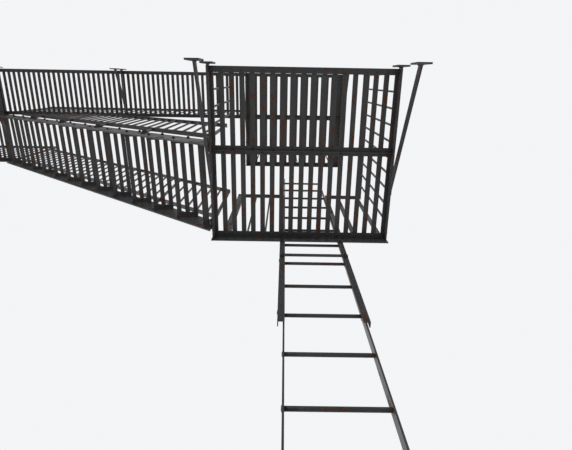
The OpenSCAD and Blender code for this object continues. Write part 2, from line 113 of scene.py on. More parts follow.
# Black iron: rolled bars, angles and plates under hand-brushed black paint over old coats. It is dull where
# the weather has had it, with rust that starts at the edges and spreads in scabs, and a little street dust
# where it can lie.
def open_group(name, kind, inputs, outputs):
    """Starts a group of nodes with named sockets."""
    group = bpy.data.node_groups.new(name, kind)
    for label, socket, value in inputs:
        made = group.interface.new_socket(label, in_out="INPUT", socket_type="NodeSocket" + socket)
        if value is not None:
            made.default_value = value
    for label, socket in outputs:
        group.interface.new_socket(label, in_out="OUTPUT", socket_type="NodeSocket" + socket)
    return group, group.nodes.new("NodeGroupInput").outputs, group.nodes.new("NodeGroupOutput")


def close_group(group, end, **results):
    """Links what a group makes to its outputs."""
    for label, socket in results.items():
        group.links.new(socket, end.inputs[label])
    return group


def brushed_paint():
    group, given, end = open_group(
        "brushed_paint", "ShaderNodeTree",
        [("Vector", "Vector", None), ("Patch Scale", "Float", 3.0), ("Grain Scale", "Float", 160.0)],
        [("Tone", "Float"), ("Dullness", "Float"), ("Height", "Float")])
    patches = put(group, "ShaderNodeTexNoise", {"Vector": given["Vector"], "Scale": given["Patch Scale"],
                                                "Detail": 6.0, "Roughness": 0.62})
    tone = put(group, "ShaderNodeMapRange", {"Value": patches.outputs["Fac"], "From Min": 0.34,
                                             "From Max": 0.68})
    drawn = put(group, "ShaderNodeMapping", {"Vector": given["Vector"], "Scale": (1.0, 1.0, 0.08)})
    runs = put(group, "ShaderNodeTexNoise", {"Vector": drawn.outputs[0], "Scale": 46.0, "Detail": 3.0})
    grain = put(group, "ShaderNodeTexNoise", {"Vector": given["Vector"], "Scale": given["Grain Scale"],
                                              "Detail": 2.0})
    dull = put(group, "ShaderNodeMath", {0: runs.outputs["Fac"], 1: tone.outputs[0]}, operation="MULTIPLY")
    ridges = put(group, "ShaderNodeMath", {0: runs.outputs["Fac"], 1: 0.6, 2: grain.outputs["Fac"]},
                 operation="MULTIPLY_ADD")
    return close_group(group, end, Tone=tone.outputs[0], Dullness=dull.outputs[0], Height=ridges.outputs[0])


def rubbed_edges():
    group, given, end = open_group(
        "rubbed_edges", "ShaderNodeTree",
        [("Vector", "Vector", None), ("Width", "Float", 0.004), ("Amount", "Float", 1.0)],
        [("Mask", "Float")])
    turned = put(group, "ShaderNodeBevel", {"Radius": given["Width"]}, samples=4)
    face = put(group, "ShaderNodeNewGeometry")
    same = put(group, "ShaderNodeVectorMath", {0: turned.outputs[0], 1: face.outputs["True Normal"]},
               operation="DOT_PRODUCT")
    edge = put(group, "ShaderNodeMapRange", {"Value": same.outputs["Value"], "From Min": 0.995,
                                             "From Max": 0.80})
    patchy = put(group, "ShaderNodeTexNoise", {"Vector": given["Vector"], "Scale": 26.0, "Detail": 5.0,
                                               "Roughness": 0.7})
    broken = put(group, "ShaderNodeMapRange", {"Value": patchy.outputs["Fac"], "From Min": 0.42,
                                               "From Max": 0.60})
    mask = put(group, "ShaderNodeMath", {0: edge.outputs[0], 1: broken.outputs[0]}, operation="MULTIPLY")
    scaled = put(group, "ShaderNodeMath", {0: mask.outputs[0], 1: given["Amount"]}, operation="MULTIPLY",
                 use_clamp=True)
    return close_group(group, end, Mask=scaled.outputs[0])


def rust_scabs():
    group, given, end = open_group(
        "rust_scabs", "ShaderNodeTree",
        [("Vector", "Vector", None), ("Edge", "Float", 0.0), ("Spread", "Float", 0.5),
         ("Patch Scale", "Float", 7.0)],
        [("Mask", "Float"), ("Color", "Color"), ("Height", "Float")])
    spots = put(group, "ShaderNodeTexNoise", {"Vector": given["Vector"], "Scale": given["Patch Scale"],
                                              "Detail": 8.0, "Roughness": 0.68})
    drawn = put(group, "ShaderNodeMapping", {"Vector": given["Vector"], "Scale": (1.0, 1.0, 0.05)})
    drips = put(group, "ShaderNodeTexNoise", {"Vector": drawn.outputs[0], "Scale": 34.0, "Detail": 4.0})
    wetter = put(group, "ShaderNodeMath", {0: drips.outputs["Fac"], 1: 0.30, 2: spots.outputs["Fac"]},
                 operation="MULTIPLY_ADD")
    nearer = put(group, "ShaderNodeMath", {0: given["Edge"], 1: 0.16, 2: wetter.outputs[0]},
                 operation="MULTIPLY_ADD")
    start = put(group, "ShaderNodeMath", {0: 1.0, 1: given["Spread"]}, operation="SUBTRACT")
    full = put(group, "ShaderNodeMath", {0: start.outputs[0], 1: 0.07}, operation="ADD")
    mask = put(group, "ShaderNodeMapRange", {"Value": nearer.outputs[0], "From Min": start.outputs[0],
                                             "From Max": full.outputs[0]})
    crumbs = put(group, "ShaderNodeTexNoise", {"Vector": given["Vector"], "Scale": 210.0, "Detail": 4.0,
                                               "Roughness": 0.7})
    tones = put(group, "ShaderNodeValToRGB", {"Fac": crumbs.outputs["Fac"]})
    darkest, brightest = tones.color_ramp.elements
    darkest.position, darkest.color = 0.30, (0.020, 0.0085, 0.0045, 1.0)
    brightest.position, brightest.color = 0.72, (0.165, 0.058, 0.021, 1.0)
    tones.color_ramp.elements.new(0.52).color = (0.070, 0.026, 0.011, 1.0)
    rough = put(group, "ShaderNodeMath", {0: mask.outputs[0], 1: crumbs.outputs["Fac"]}, operation="MULTIPLY")
    return close_group(group, end, Mask=mask.outputs[0], Color=tones.outputs["Color"],
                       Height=rough.outputs[0])


def street_dust():
    group, given, end = open_group(
        "street_dust", "ShaderNodeTree",
        [("Vector", "Vector", None), ("Amount", "Float", 0.5)],
        [("Mask", "Float")])
    face = put(group, "ShaderNodeNewGeometry")
    up = put(group, "ShaderNodeSeparateXYZ", {0: face.outputs["True Normal"]})
    lies = put(group, "ShaderNodeMapRange", {"Value": up.outputs["Z"], "From Min": 0.25, "From Max": 0.9})
    drifts = put(group, "ShaderNodeTexNoise", {"Vector": given["Vector"], "Scale": 15.0, "Detail": 6.0})
    lumps = put(group, "ShaderNodeMapRange", {"Value": drifts.outputs["Fac"], "From Min": 0.38,
                                              "From Max": 0.72})
    mask = put(group, "ShaderNodeMath", {0: lies.outputs[0], 1: lumps.outputs[0]}, operation="MULTIPLY")
    scaled = put(group, "ShaderNodeMath", {0: mask.outputs[0], 1: given["Amount"]}, operation="MULTIPLY")
    return close_group(group, end, Mask=scaled.outputs[0])


paint_effect = brushed_paint()
edge_effect = rubbed_edges()
rust_effect = rust_scabs()
dust_effect = street_dust()
dust_color = (0.150, 0.140, 0.122, 1.0)
duller_by = 0.34
bar_shift = (9.1, 7.3, 11.7)


def iron_look(name, fresh, faded, bared, gloss, rub, spread, dust, bright_top=0.0):
    """Paint that goes from fresh to faded, bare metal where it is rubbed, then rust, then dust on top."""
    look = bpy.data.materials.new(name)
    look.use_nodes = True
    tree = look.node_tree
    tree.nodes.clear()
    bar = put(tree, "ShaderNodeNewGeometry").outputs["Random Per Island"]
    here = put(tree, "ShaderNodeTexCoord").outputs["Object"]
    spot = put(tree, "ShaderNodeVectorMath", {0: bar, 1: bar_shift, 2: here},
               operation="MULTIPLY_ADD").outputs["Vector"]
    paint = put(tree, "ShaderNodeGroup", node_tree=paint_effect)
    edge = put(tree, "ShaderNodeGroup", node_tree=edge_effect)
    rust = put(tree, "ShaderNodeGroup", node_tree=rust_effect)
    grit = put(tree, "ShaderNodeGroup", node_tree=dust_effect)
    for node in (paint, edge, rust, grit):
        tree.links.new(spot, node.inputs["Vector"])
    edge.inputs["Amount"].default_value = rub
    rust.inputs["Spread"].default_value = spread
    grit.inputs["Amount"].default_value = dust
    tree.links.new(edge.outputs["Mask"], rust.inputs["Edge"])

    def mixed(fac, a, b):
        return put(tree, "ShaderNodeMix", {0: fac, 6: a, 7: b}, data_type="RGBA").outputs[2]

    def blended(fac, a, b):
        return put(tree, "ShaderNodeMix", {0: fac, 2: a, 3: b}, data_type="FLOAT").outputs[0]

    bare = edge.outputs["Mask"]
    if bright_top:
        face = put(tree, "ShaderNodeNewGeometry")
        up = put(tree, "ShaderNodeSeparateXYZ", {0: face.outputs["True Normal"]})
        trodden = put(tree, "ShaderNodeMapRange", {"Value": up.outputs["Z"], "From Min": 0.6,
                                                   "From Max": 0.95})
        scuffs = put(tree, "ShaderNodeTexNoise", {"Vector": spot, "Scale": 11.0, "Detail": 9.0,
                                                  "Roughness": 0.72})
        where = put(tree, "ShaderNodeMapRange", {"Value": scuffs.outputs["Fac"], "From Min": 0.46,
                                                 "From Max": 0.62, "To Max": bright_top})
        worn = put(tree, "ShaderNodeMath", {0: trodden.outputs[0], 1: where.outputs[0]}, operation="MULTIPLY")
        bare = put(tree, "ShaderNodeMath", {0: bare, 1: worn.outputs[0]}, operation="MAXIMUM").outputs[0]
    color = mixed(paint.outputs["Tone"], fresh, faded)
    color = mixed(bare, color, bared)
    color = mixed(rust.outputs["Mask"], color, rust.outputs["Color"])
    color = mixed(grit.outputs["Mask"], color, dust_color)
    roughness = blended(paint.outputs["Dullness"], gloss, gloss + duller_by)
    roughness = blended(bare, roughness, 0.38)
    roughness = blended(rust.outputs["Mask"], roughness, 0.92)
    roughness = blended(grit.outputs["Mask"], roughness, 0.95)
    unrusted = put(tree, "ShaderNodeMath", {0: 1.0, 1: rust.outputs["Mask"]}, operation="SUBTRACT")
    metallic = put(tree, "ShaderNodeMath", {0: bare, 1: unrusted.outputs[0]}, operation="MULTIPLY")
    height = put(tree, "ShaderNodeMath", {0: rust.outputs["Height"], 1: 1.6, 2: paint.outputs["Height"]},
                 operation="MULTIPLY_ADD")
    bump = put(tree, "ShaderNodeBump", {"Strength": 0.35, "Distance": 0.0012, "Height": height.outputs[0]})
    shader = put(tree, "ShaderNodeBsdfPrincipled", {"Base Color": color, "Roughness": roughness,
                                                    "Metallic": metallic.outputs[0],
                                                    "Normal": bump.outputs[0]})
    put(tree, "ShaderNodeOutputMaterial", {"Surface": shader.outputs[0]})
    return look


same_point = 0.00002


def finish_iron(names, look, chamfer):
    """Gives the solids their iron and takes the sharpness off their edges."""
    for name in names:
        for slot in nodes[name].material_slots:
            slot.material = look
        weld = nodes[name].modifiers.new("weld", "WELD")
        weld.merge_threshold = same_point
        edges = nodes[name].modifiers.new("edges", "BEVEL")
        edges.width = chamfer
        edges.segments = 1
        edges.limit_method = "ANGLE"
        edges.angle_limit = radians(40)


floor_names = ["lower_slats", "bay_slats", "walkway_slats", "landing_slats", "stair_treads"]
ladder_names = ["ladder_rails", "ladder_rungs"]
black_iron = iron_look("black_iron", fresh=(0.0130, 0.0135, 0.0150, 1.0), faded=(0.0330, 0.0335, 0.0350, 1.0),
                       bared=(0.115, 0.110, 0.105, 1.0), gloss=0.42, rub=0.75, spread=0.295, dust=0.55)
finish_iron([name for name in nodes if name not in floor_names + ladder_names], black_iron, 0.0010)

# The floors' slats and the flight's treads are flat bars of the same black iron, walked down to dull bare
# metal on top while their undersides keep the paint. The slats lie on the flat legs of the angles.
worn_iron = iron_look("worn_iron", fresh=(0.0170, 0.0172, 0.0185, 1.0), faded=(0.0400, 0.0395, 0.0400, 1.0),
                      bared=(0.150, 0.142, 0.132, 1.0), gloss=0.48, rub=0.90, spread=0.310, dust=0.35,
                      bright_top=0.8)
finish_iron(floor_names, worn_iron, 0.0010)

# The drop ladder, flat rails with round rungs, has a thick late coat of black that hands and the guides have
# rubbed along its edges.
ladder_iron = iron_look("ladder_iron", fresh=(0.0110, 0.0115, 0.0130, 1.0),
                        faded=(0.0260, 0.0265, 0.0285, 1.0), bared=(0.130, 0.125, 0.120, 1.0), gloss=0.40,
                        rub=1.0, spread=0.280, dust=0.30, bright_top=0.5)
finish_iron(ladder_names, ladder_iron, 0.0008)


# Rivets join the slats to the angles and the cross bars below them. Each is a hot-driven iron rivet with a
# round head on top and a round closing head underneath. The rows along a railing have heads underneath only.
def rivet_tree():
    tree, given, end = open_group(
        "rivet_heads", "GeometryNodeTree",
        [("Places", "Geometry", None), ("Head Radius", "Float", 0.008), ("Head Height", "Float", 0.0045),
         ("Iron", "Material", None)],
        [("Heads", "Geometry")])
    ball = put(tree, "GeometryNodeMeshUVSphere", {"Segments": 10, "Rings": 5, "Radius": 1.0})
    flat = put(tree, "ShaderNodeCombineXYZ", {0: given["Head Radius"], 1: given["Head Radius"],
                                              2: given["Head Height"]})
    head = put(tree, "GeometryNodeTransform", {"Geometry": ball.outputs["Mesh"], "Scale": flat.outputs[0]})
    facing = put(tree, "GeometryNodeInputNamedAttribute", {"Name": "facing"}, data_type="FLOAT_VECTOR")
    turned = put(tree, "FunctionNodeAlignRotationToVector", {"Vector": facing.outputs["Attribute"]}, axis="Z")
    points = put(tree, "GeometryNodeMeshToPoints", {"Mesh": given["Places"]})
    size = put(tree, "FunctionNodeRandomValue", {2: 0.93, 3: 1.06, "Seed": 7})
    heads = put(tree, "GeometryNodeInstanceOnPoints",
                {"Points": points.outputs[0], "Instance": head.outputs[0], "Rotation": turned.outputs[0],
                 "Scale": size.outputs[1]})
    solid = put(tree, "GeometryNodeRealizeInstances", {"Geometry": heads.outputs[0]})
    smooth = put(tree, "GeometryNodeSetShadeSmooth", {"Geometry": solid.outputs[0]})
    done = put(tree, "GeometryNodeSetMaterial", {"Geometry": smooth.outputs[0], "Material": given["Iron"]})
    return close_group(tree, end, Heads=done.outputs[0])


def make_piece(name, mesh, tree, sizes, look, body):
    """Runs a tree of fittings over a mesh and keeps what it makes as one plain mesh on a body."""
    piece = bpy.data.objects.new(name, mesh)
    scene.collection.objects.link(piece)
    maker = piece.modifiers.new("fittings", "NODES")
    maker.node_group = tree
    ids = {item.name: item.identifier for item in tree.interface.items_tree if item.in_out == "INPUT"}
    for label, value in sizes.items():
        maker[ids[label]] = value
    maker[ids["Iron"]] = look
    view = bpy.context.evaluated_depsgraph_get()
    made = bpy.data.meshes.new_from_object(piece.evaluated_get(view))
    piece.modifiers.remove(maker)
    piece.data = made
    made.name = name
    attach(piece, body)


def set_fittings(name, tree, places, sizes, look, body):
    """Sets one fitting at every place, which is a point and the way the fitting faces."""
    mesh = bpy.data.meshes.new(name)
    mesh.from_pydata([tuple(point) for point, _ in places], [], [])
    facing = mesh.attributes.new("facing", "FLOAT_VECTOR", "POINT")
    facing.data.foreach_set("vector", [value for _, way in places for value in way])
    make_piece(name, mesh, tree, sizes, look, body)


UP, DOWN, LEFT, RIGHT, OUT, IN = ((0, 0, 1), (0, 0, -1), (-1, 0, 0), (1, 0, 0), (0, -1, 0), (0, 1, 0))
lower_z, upper_z = 0.031, 2.670
bay_x0, bay_x1 = -0.012, 1.175
landing_x0, landing_x1 = 4.099, 4.999
frame_leg, frame_t, upper_cross_leg = 0.038, 0.006, 0.096
slat_w, slat_t = 0.032, 0.008
lower_gap, upper_gap = 0.03175, 0.0266
bay_pitch, bay_middle, bay_count = 0.0615, 0.5895, 16
front_row, tee_row, wall_row = -1.098, -0.528, -0.042
tee_stagger = 0.016
rivets = rivet_tree()


def slat_middles(x0, x1, gap):
    """The middles of the slats from x0 to x1, with gaps as near to this one as the floor allows."""
    count = round((x1 - x0 - gap) / (slat_w + gap))
    opening = (x1 - x0 - count * slat_w) / (count + 1)
    return [x0 + opening + slat_w / 2 + i * (slat_w + opening) for i in range(count)]


lower_middles = slat_middles(bay_x0 + frame_leg, bay_x1 - frame_leg, lower_gap)
walkway_middles = slat_middles(bay_x1, landing_x0, upper_gap)
landing_middles = slat_middles(landing_x0 + upper_cross_leg, landing_x1 - upper_cross_leg, upper_gap)
bay_middles = [bay_middle + (i - (bay_count - 1) / 2) * bay_pitch for i in range(bay_count)]
deep_floor = (front_row, tee_row, wall_row), (tee_row, wall_row)
shallow_floor = (tee_row, wall_row), (wall_row,)
for name, middles, level, (rows_below, rows_above) in (
        ("lower_slat_rivets", lower_middles, lower_z, deep_floor),
        ("bay_slat_rivets", bay_middles, upper_z, deep_floor),
        ("walkway_slat_rivets", walkway_middles, upper_z, shallow_floor),
        ("landing_slat_rivets", landing_middles, upper_z, deep_floor)):
    stagger = tee_stagger if front_row in rows_below else 0.0
    places = []
    for i, x in enumerate(middles):
        for row in rows_below:
            y = row + (stagger if i % 2 else -stagger) * (row == tee_row)
            places.append(((x, y, level - frame_t), DOWN))
            if row in rows_above:
                places.append(((x, y, level + slat_t), UP))
    set_fittings(name, rivets, places, {"Head Radius": 0.0080, "Head Height": 0.0045}, black_iron,
                 "fire_escape")

# The frames' own joints. Rivets through the upright legs hold the end angles to the arms beside them and show
# a head on both sides. Others join the front angles to the end angles at the corners and show in front.
front_y = -1.120
arm_t = 0.012
leg_middle = 0.022
arm_rivet_rows = (-1.072, -0.84, -0.62, -0.36, -0.12)
frame_ends = ((bay_x0, -1, lower_z), (bay_x1, 1, lower_z), (bay_x0, -1, upper_z), (bay_x1, 1, upper_z),
              (landing_x0, -1, upper_z), (landing_x1, 1, upper_z))
places = []
for x, side, level in frame_ends:
    outward, inward = (RIGHT, LEFT) if side > 0 else (LEFT, RIGHT)
    for y in arm_rivet_rows:
        places.append(((x, y, level - leg_middle), outward))
        places.append(((x - side * (frame_t + arm_t), y, level - leg_middle), inward))
set_fittings("arm_rivets", rivets, places, {"Head Radius": 0.0085, "Head Height": 0.0048}, black_iron,
             "fire_escape")

corner_in = 0.020
corner_downs = (0.052, 0.080)
places = [((x - side * corner_in, front_y, level - down), OUT)
          for x, side, level in frame_ends for down in corner_downs]
set_fittings("front_corner_rivets", rivets, places, {"Head Radius": 0.0080, "Head Height": 0.0045},
             black_iron, "fire_escape")


# The brackets are flat bars, welded together and to their wall plates. A ripple of weld metal runs down both
# sides of each arm and strut where they meet the plates, and along the arm where the strut meets it.
def weld_tree():
    tree, given, end = open_group(
        "weld_beads", "GeometryNodeTree",
        [("Places", "Geometry", None), ("Bead Radius", "Float", 0.0042), ("Ripple Step", "Float", 0.0050),
         ("Iron", "Material", None)],
        [("Beads", "Geometry")])
    lines = put(tree, "GeometryNodeMeshToCurve", {"Mesh": given["Places"]})
    steps = put(tree, "GeometryNodeResampleCurve",
                {"Curve": lines.outputs[0], "Length": given["Ripple Step"]}, mode="LENGTH")
    uneven = put(tree, "FunctionNodeRandomValue", {2: 0.72, 3: 1.18, "Seed": 21})
    swell = put(tree, "GeometryNodeSetCurveRadius", {"Curve": steps.outputs[0], "Radius": uneven.outputs[1]})
    ring = put(tree, "GeometryNodeCurvePrimitiveCircle", {"Resolution": 6, "Radius": given["Bead Radius"]})
    bead = put(tree, "GeometryNodeCurveToMesh", {"Curve": swell.outputs[0], "Profile Curve": ring.outputs[0],
                                                 "Fill Caps": True, "Scale": uneven.outputs[1]})
    solid = put(tree, "GeometryNodeRealizeInstances", {"Geometry": bead.outputs[0]})
    smooth = put(tree, "GeometryNodeSetShadeSmooth", {"Geometry": solid.outputs[0]})
    done = put(tree, "GeometryNodeSetMaterial", {"Geometry": smooth.outputs[0], "Material": given["Iron"]})
    return close_group(tree, end, Beads=done.outputs[0])


def lay_beads(name, lines, radius, look, body):
    """Lays weld beads along straight lines, each given by its two ends."""
    mesh = bpy.data.meshes.new(name)
    mesh.from_pydata([tuple(end) for line in lines for end in line],
                     [(2 * i, 2 * i + 1) for i in range(len(lines))], [])
    make_piece(name, mesh, welds, {"Bead Radius": radius}, look, body)


welds = weld_tree()
plate_t, arm_h, strut_h = 0.010, 0.050, 0.044
strut_drop, strut_far, strut_near = 0.400, 0.800, 0.400
strut_fall = strut_drop / strut_far
half_cut = strut_h / 2 * sqrt(1 + strut_fall ** 2)
storey = 2.639
arm_inset = frame_t + arm_t / 2
bay_arms = bay_x0 + arm_inset, bay_x1 - arm_inset
walkway_arm = (bay_x1 + landing_x0) / 2
landing_arms = landing_x0 + arm_inset, landing_x1 - arm_inset
arms = [(x, 0.0, strut_far) for x in bay_arms] + [(x, storey, strut_far) for x in bay_arms]
arms += [(walkway_arm, storey, strut_near)] + [(x, storey, strut_far) for x in landing_arms]
lines = []
for x, level, strut_out in arms:
    drop = strut_fall * strut_out
    foot = level - drop + strut_fall * plate_t
    meets = (drop - arm_h / 2) / strut_fall
    for face in (x - arm_t / 2, x + arm_t / 2):
        lines.append(((face, -plate_t, level - arm_h / 2), (face, -plate_t, level + arm_h / 2)))
        lines.append(((face, -plate_t, foot - half_cut), (face, -plate_t, foot + half_cut)))
        lines.append(((face, -meets - half_cut / strut_fall, level - arm_h / 2),
                      (face, -meets + half_cut / strut_fall, level - arm_h / 2)))
lay_beads("bracket_welds", lines, 0.0045, black_iron, "fire_escape")


# The ladder's guides are angle irons, bolted through the leg along the wall to the landing's front angle, to
# the posts of the front railing and to the tie below. A washer, a nut and the bolt's end show on the wall
# side, all painted over.
def nut_tree():
    tree, given, end = open_group(
        "nuts_on_washers", "GeometryNodeTree",
        [("Places", "Geometry", None), ("Nut Radius", "Float", 0.0105), ("Nut Height", "Float", 0.0080),
         ("Bolt Radius", "Float", 0.0050), ("Bolt End", "Float", 0.0040), ("Iron", "Material", None)],
        [("Nuts", "Geometry")])
    washer_t, washer_wider = 0.0018, 1.22
    crown_t, crown_narrower = 0.0007, 0.86
    sixth_turn = 1.0472

    def raised(shape, depth, start):
        half = put(tree, "ShaderNodeMath", {0: depth, 1: 0.5}, operation="MULTIPLY")
        base = put(tree, "ShaderNodeMath", {0: half.outputs[0], 1: start}, operation="ADD")
        up = put(tree, "ShaderNodeCombineXYZ", {2: base.outputs[0]})
        return put(tree, "GeometryNodeTransform", {"Geometry": shape.outputs["Mesh"],
                                                   "Translation": up.outputs[0]}).outputs[0]

    wide = put(tree, "ShaderNodeMath", {0: given["Nut Radius"], 1: washer_wider}, operation="MULTIPLY")
    washer = put(tree, "GeometryNodeMeshCylinder", {"Vertices": 14, "Radius": wide.outputs[0],
                                                    "Depth": washer_t})
    nut = put(tree, "GeometryNodeMeshCylinder", {"Vertices": 6, "Radius": given["Nut Radius"],
                                                 "Depth": given["Nut Height"]})
    narrow = put(tree, "ShaderNodeMath", {0: given["Nut Radius"], 1: crown_narrower}, operation="MULTIPLY")
    crown = put(tree, "GeometryNodeMeshCylinder", {"Vertices": 12, "Radius": narrow.outputs[0],
                                                   "Depth": crown_t})
    stub = put(tree, "GeometryNodeMeshCylinder", {"Vertices": 8, "Radius": given["Bolt Radius"],
                                                  "Depth": given["Bolt End"]})
    nut_top = put(tree, "ShaderNodeMath", {0: given["Nut Height"], 1: washer_t}, operation="ADD").outputs[0]
    whole = put(tree, "GeometryNodeJoinGeometry")
    for part in (raised(washer, washer_t, 0.0), raised(nut, given["Nut Height"], washer_t),
                 raised(crown, crown_t, nut_top), raised(stub, given["Bolt End"], nut_top)):
        tree.links.new(part, whole.inputs[0])
    facing = put(tree, "GeometryNodeInputNamedAttribute", {"Name": "facing"}, data_type="FLOAT_VECTOR")
    turned = put(tree, "FunctionNodeAlignRotationToVector", {"Vector": facing.outputs["Attribute"]}, axis="Z")
    angle = put(tree, "FunctionNodeRandomValue", {2: 0.0, 3: sixth_turn, "Seed": 12})
    spin = put(tree, "FunctionNodeAxisAngleToRotation", {"Axis": (0.0, 0.0, 1.0), "Angle": angle.outputs[1]})
    spun = put(tree, "FunctionNodeRotateRotation",
               {"Rotation": turned.outputs[0], "Rotate By": spin.outputs[0]}, rotation_space="LOCAL")
    points = put(tree, "GeometryNodeMeshToPoints", {"Mesh": given["Places"]})
    nuts = put(tree, "GeometryNodeInstanceOnPoints",
               {"Points": points.outputs[0], "Instance": whole.outputs[0], "Rotation": spun.outputs[0]})
    solid = put(tree, "GeometryNodeRealizeInstances", {"Geometry": nuts.outputs[0]})
    done = put(tree, "GeometryNodeSetMaterial", {"Geometry": solid.outputs[0], "Material": given["Iron"]})
    return close_group(tree, end, Nuts=done.outputs[0])


nuts = nut_tree()
guide_nut = {"Nut Radius": 0.0088, "Nut Height": 0.0070, "Bolt Radius": 0.0045, "Bolt End": 0.0035}
guide_mid, guide_out, guide_w = 0.504, 0.211, 0.034
post_s = 0.025
rail_t = 0.008
post_bolt_in = 0.0145
angle_bolt_downs = (0.030, 0.078)
post_bolt_ups = (0.20, 0.52, 0.86)
tie_drop, tie_h = 0.350, 0.030
tie_z = lower_z - tie_drop + tie_h / 2
places = []
for side in (-1, 1):
    leg_x = guide_mid + side * (guide_out - guide_w / 2)
    post_x = guide_mid + side * (guide_out - post_bolt_in)
    places += [((leg_x, front_y + frame_t, lower_z - down), IN) for down in angle_bolt_downs]
    places += [((post_x, front_y + post_s, lower_z + up), IN) for up in post_bolt_ups]
    places.append(((leg_x, front_y + rail_t, tie_z), IN))
set_fittings("guide_nuts", nuts, places, guide_nut, black_iron, "fire_escape")

# Round-headed bolts show on the guides' street side, beside the rails. Each keeper is a bent strap, welded to
# its guide's edge with a bead down the outside.
rail_h = 1.015
guide_t, guide_leg, guide_drop = 0.005, 0.030, 1.090
guide_z0, guide_z1 = lower_z - guide_drop, lower_z + slat_t + rail_h
keeper_h, keeper_count, keeper_inset = 0.030, 4, 0.110
keeper_pitch = (guide_z1 - guide_z0 - 2 * keeper_inset - keeper_h) / (keeper_count - 1)
set_fittings("guide_bolt_heads", rivets, [((x, front_y - guide_t, z), OUT) for (x, _, z), _ in places],
             {"Head Radius": 0.0085, "Head Height": 0.0048}, black_iron, "fire_escape")
lines = []
for x in (guide_mid - guide_out, guide_mid + guide_out):
    for i in range(keeper_count):
        z = guide_z0 + keeper_inset + i * keeper_pitch
        lines.append(((x, front_y - guide_leg, z), (x, front_y - guide_leg, z + keeper_h)))
lay_beads("keeper_welds", lines, 0.0032, black_iron, "fire_escape")

# The drop ladder's round rungs pass through the flat rails and are hammered over outside, which leaves a low
# wide head on each end. The ladder hangs raised, with its lower end below the guides.
ladder_mid, ladder_w, ladder_rail_t = 0.4975, 0.368, 0.008
rung_pitch, rung_count = 0.3048, 14
rung_out, top_rung_h = 0.037, 1.755
rung_y = front_y - rung_out
top_rung_z = lower_z + slat_t + top_rung_h
rail_out = ladder_w / 2 + ladder_rail_t
places = [((ladder_mid + side * rail_out, rung_y, top_rung_z - i * rung_pitch), way)
          for i in range(rung_count) for side, way in ((-1, LEFT), (1, RIGHT))]
set_fittings("rung_ends", rivets, places, {"Head Radius": 0.0125, "Head Height": 0.0036}, ladder_iron,
             "drop_ladder")

# The flight. It stands slightly out of square, so its fittings are set in its own frame and turned with it.
# Every tread's bars are riveted to two short angles, and each angle is bolted to its stringer.
inner_reach, head_reach = 0.478, 0.548
flight_turn = atan2(head_reach - inner_reach, landing_x0 - bay_x1)
stringer_t, stringer_depth, stringer_drop = 0.010, 0.150, 0.140
tread_w = 0.548
inner_face = -inner_reach - stringer_t
outer_face = inner_face - tread_w
riser_count = 13
rise, going = storey / riser_count, 0.231
first_tread = 1.403
slope = rise / going
slant = sqrt(1 + slope ** 2)
stringer_v = stringer_depth * slant


def on_flight(x, y, z):
    """A point of the flight, turned with it about the foot of the inner stringer."""
    dx, dy = x - bay_x1, y + inner_reach
    return (bay_x1 + dx * cos(flight_turn) + dy * sin(flight_turn),
            -inner_reach - dx * sin(flight_turn) + dy * cos(flight_turn), z)


def way_on_flight(way):
    """The way that a fitting faces, turned with the flight."""
    return (way[0] * cos(flight_turn) + way[1] * sin(flight_turn),
            -way[0] * sin(flight_turn) + way[1] * cos(flight_turn), way[2])


def top_edge(x):
    """The height of the stringers' top edge at x."""
    return lower_z + rise * ((x - first_tread) / going + 1) - stringer_drop + stringer_v


large_nut = {"Nut Radius": 0.0105, "Nut Height": 0.0080, "Bolt Radius": 0.0050, "Bolt End": 0.0040}
clip_t = 0.005
tread_bar_pitch = 0.060
clip_bolt_out, clip_bolt_down, bolt_end_down = 0.050, 0.0165, 0.0180
tread_rivet_in = 0.0165
bolt_places, end_places, rivet_places = [], [], []
for k in range(riser_count - 1):
    x, z = first_tread + k * going, lower_z + (k + 1) * rise
    for dx in (-clip_bolt_out, clip_bolt_out):
        for face, out, way, back in ((outer_face, -1, OUT, IN), (inner_face, 1, IN, OUT)):
            bolt_places.append((on_flight(x + dx, face + out * stringer_t, z - clip_bolt_down),
                                way_on_flight(way)))
            end_places.append((on_flight(x + dx, face - out * clip_t, z - bolt_end_down),
                               way_on_flight(back)))
    for bar in (-tread_bar_pitch, 0.0, tread_bar_pitch):
        for y in (outer_face + tread_rivet_in, inner_face - tread_rivet_in):
            rivet_places.append((on_flight(x + bar, y, z + slat_t), UP))
            rivet_places.append((on_flight(x + bar, y, z - clip_t), DOWN))
set_fittings("tread_bolts", nuts, bolt_places, large_nut, black_iron, "fire_escape")
set_fittings("tread_bolt_ends", rivets, end_places, {"Head Radius": 0.0062, "Head Height": 0.0036},
             black_iron, "fire_escape")
set_fittings("tread_rivets", rivets, rivet_places, {"Head Radius": 0.0068, "Head Height": 0.0036}, worn_iron,
             "fire_escape")

